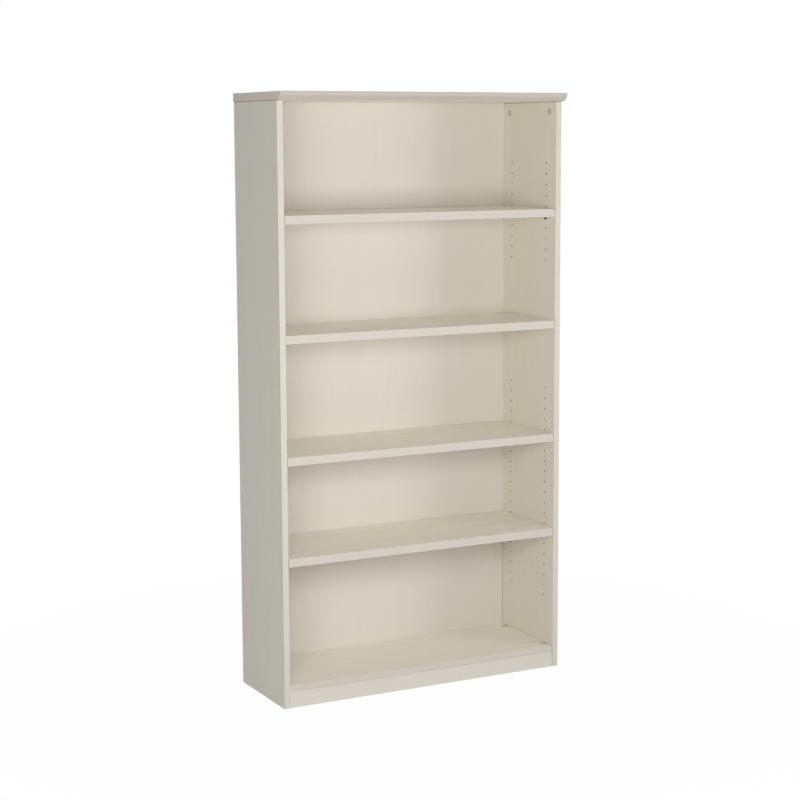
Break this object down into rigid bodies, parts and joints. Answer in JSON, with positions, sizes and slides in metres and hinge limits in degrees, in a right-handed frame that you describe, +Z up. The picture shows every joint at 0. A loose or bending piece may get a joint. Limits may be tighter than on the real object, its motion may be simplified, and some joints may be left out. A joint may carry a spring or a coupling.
{
  "type": "bookcase",
  "caption": "Tall open laminate bookcase with a bevelled top, a fixed middle shelf, pin-held adjustable shelves, a thin back and a toe kick.",
  "frame": {"origin": "on the floor, at the middle of the overall width and depth", "axes": "+X to the right seen from the front, +Y to the rear, +Z up"},
  "size_m": [0.9144, 0.3302, 1.7272],
  "materials": {
    "laminate": "satin wood-grain laminate, off-white wash",
    "edge_band": "satin edge band, off-white wash",
    "back_board": "satin printed hardboard, off-white wash",
    "pin_steel": "dark bronze plated steel",
    "zinc_steel": "zinc plated",
    "cap_plastic": "matte beige",
    "housing_plastic": "matte grey-brown",
    "dowel_wood": "bare beech"
  },
  "bodies": {
    "case": {"top_panel": "laminate", "left_side_panel": "laminate", "right_side_panel": "laminate", "back_panel": "back_board", "toe_kick": "laminate", "bottom_shelf": "laminate", "fixed_shelf": "laminate", "top_left_end_band": "edge_band", "top_right_end_band": "edge_band", "left_side_edge_band": "edge_band", "right_side_edge_band": "edge_band", "bottom_shelf_edge_band": "edge_band", "fixed_shelf_edge_band": "edge_band", "cam_locks": "zinc_steel", "cam_bolts": "zinc_steel", "cam_cover_caps": "cap_plastic", "connector_housings": "housing_plastic", "connector_cams": "zinc_steel", "connector_bolts": "zinc_steel", "wood_dowels": "dowel_wood", "back_panel_nails": "zinc_steel"},
    "upper_shelf": {"upper_shelf": "laminate", "upper_shelf_edge_band": "edge_band"},
    "middle_shelf": {"middle_shelf": "laminate", "middle_shelf_edge_band": "edge_band"},
    "lower_shelf": {"lower_shelf": "laminate", "lower_shelf_edge_band": "edge_band"},
    "upper_pin_front_left": {"upper_pin_front_left": "pin_steel"},
    "upper_pin_front_right": {"upper_pin_front_right": "pin_steel"},
    "upper_pin_rear_left": {"upper_pin_rear_left": "pin_steel"},
    "upper_pin_rear_right": {"upper_pin_rear_right": "pin_steel"},
    "middle_pin_front_left": {"middle_pin_front_left": "pin_steel"},
    "middle_pin_front_right": {"middle_pin_front_right": "pin_steel"},
    "middle_pin_rear_left": {"middle_pin_rear_left": "pin_steel"},
    "middle_pin_rear_right": {"middle_pin_rear_right": "pin_steel"},
    "lower_pin_front_left": {"lower_pin_front_left": "pin_steel"},
    "lower_pin_front_right": {"lower_pin_front_right": "pin_steel"},
    "lower_pin_rear_left": {"lower_pin_rear_left": "pin_steel"},
    "lower_pin_rear_right": {"lower_pin_rear_right": "pin_steel"}
  },
  "joints": [
    {"name": "upper_shelf_slide", "type": "slide", "parent": "case", "child": "upper_shelf", "axis": [0, -1, 0], "range_m": [0, 0.34]},
    {"name": "middle_shelf_slide", "type": "slide", "parent": "case", "child": "middle_shelf", "axis": [0, -1, 0], "range_m": [0, 0.34]},
    {"name": "lower_shelf_slide", "type": "slide", "parent": "case", "child": "lower_shelf", "axis": [0, -1, 0], "range_m": [0, 0.34]},
    {"name": "upper_pin_front_left_slide", "type": "slide", "parent": "case", "child": "upper_pin_front_left", "axis": [1, 0, 0], "range_m": [0, 0.012]},
    {"name": "upper_pin_front_right_slide", "type": "slide", "parent": "case", "child": "upper_pin_front_right", "axis": [-1, 0, 0], "range_m": [0, 0.012]},
    {"name": "upper_pin_rear_left_slide", "type": "slide", "parent": "case", "child": "upper_pin_rear_left", "axis": [1, 0, 0], "range_m": [0, 0.012]},
    {"name": "upper_pin_rear_right_slide", "type": "slide", "parent": "case", "child": "upper_pin_rear_right", "axis": [-1, 0, 0], "range_m": [0, 0.012]},
    {"name": "middle_pin_front_left_slide", "type": "slide", "parent": "case", "child": "middle_pin_front_left", "axis": [1, 0, 0], "range_m": [0, 0.012]},
    {"name": "middle_pin_front_right_slide", "type": "slide", "parent": "case", "child": "middle_pin_front_right", "axis": [-1, 0, 0], "range_m": [0, 0.012]},
    {"name": "middle_pin_rear_left_slide", "type": "slide", "parent": "case", "child": "middle_pin_rear_left", "axis": [1, 0, 0], "range_m": [0, 0.012]},
    {"name": "middle_pin_rear_right_slide", "type": "slide", "parent": "case", "child": "middle_pin_rear_right", "axis": [-1, 0, 0], "range_m": [0, 0.012]},
    {"name": "lower_pin_front_left_slide", "type": "slide", "parent": "case", "child": "lower_pin_front_left", "axis": [1, 0, 0], "range_m": [0, 0.012]},
    {"name": "lower_pin_front_right_slide", "type": "slide", "parent": "case", "child": "lower_pin_front_right", "axis": [-1, 0, 0], "range_m": [0, 0.012]},
    {"name": "lower_pin_rear_left_slide", "type": "slide", "parent": "case", "child": "lower_pin_rear_left", "axis": [1, 0, 0], "range_m": [0, 0.012]},
    {"name": "lower_pin_rear_right_slide", "type": "slide", "parent": "case", "child": "lower_pin_rear_right", "axis": [-1, 0, 0], "range_m": [0, 0.012]}
  ]
}
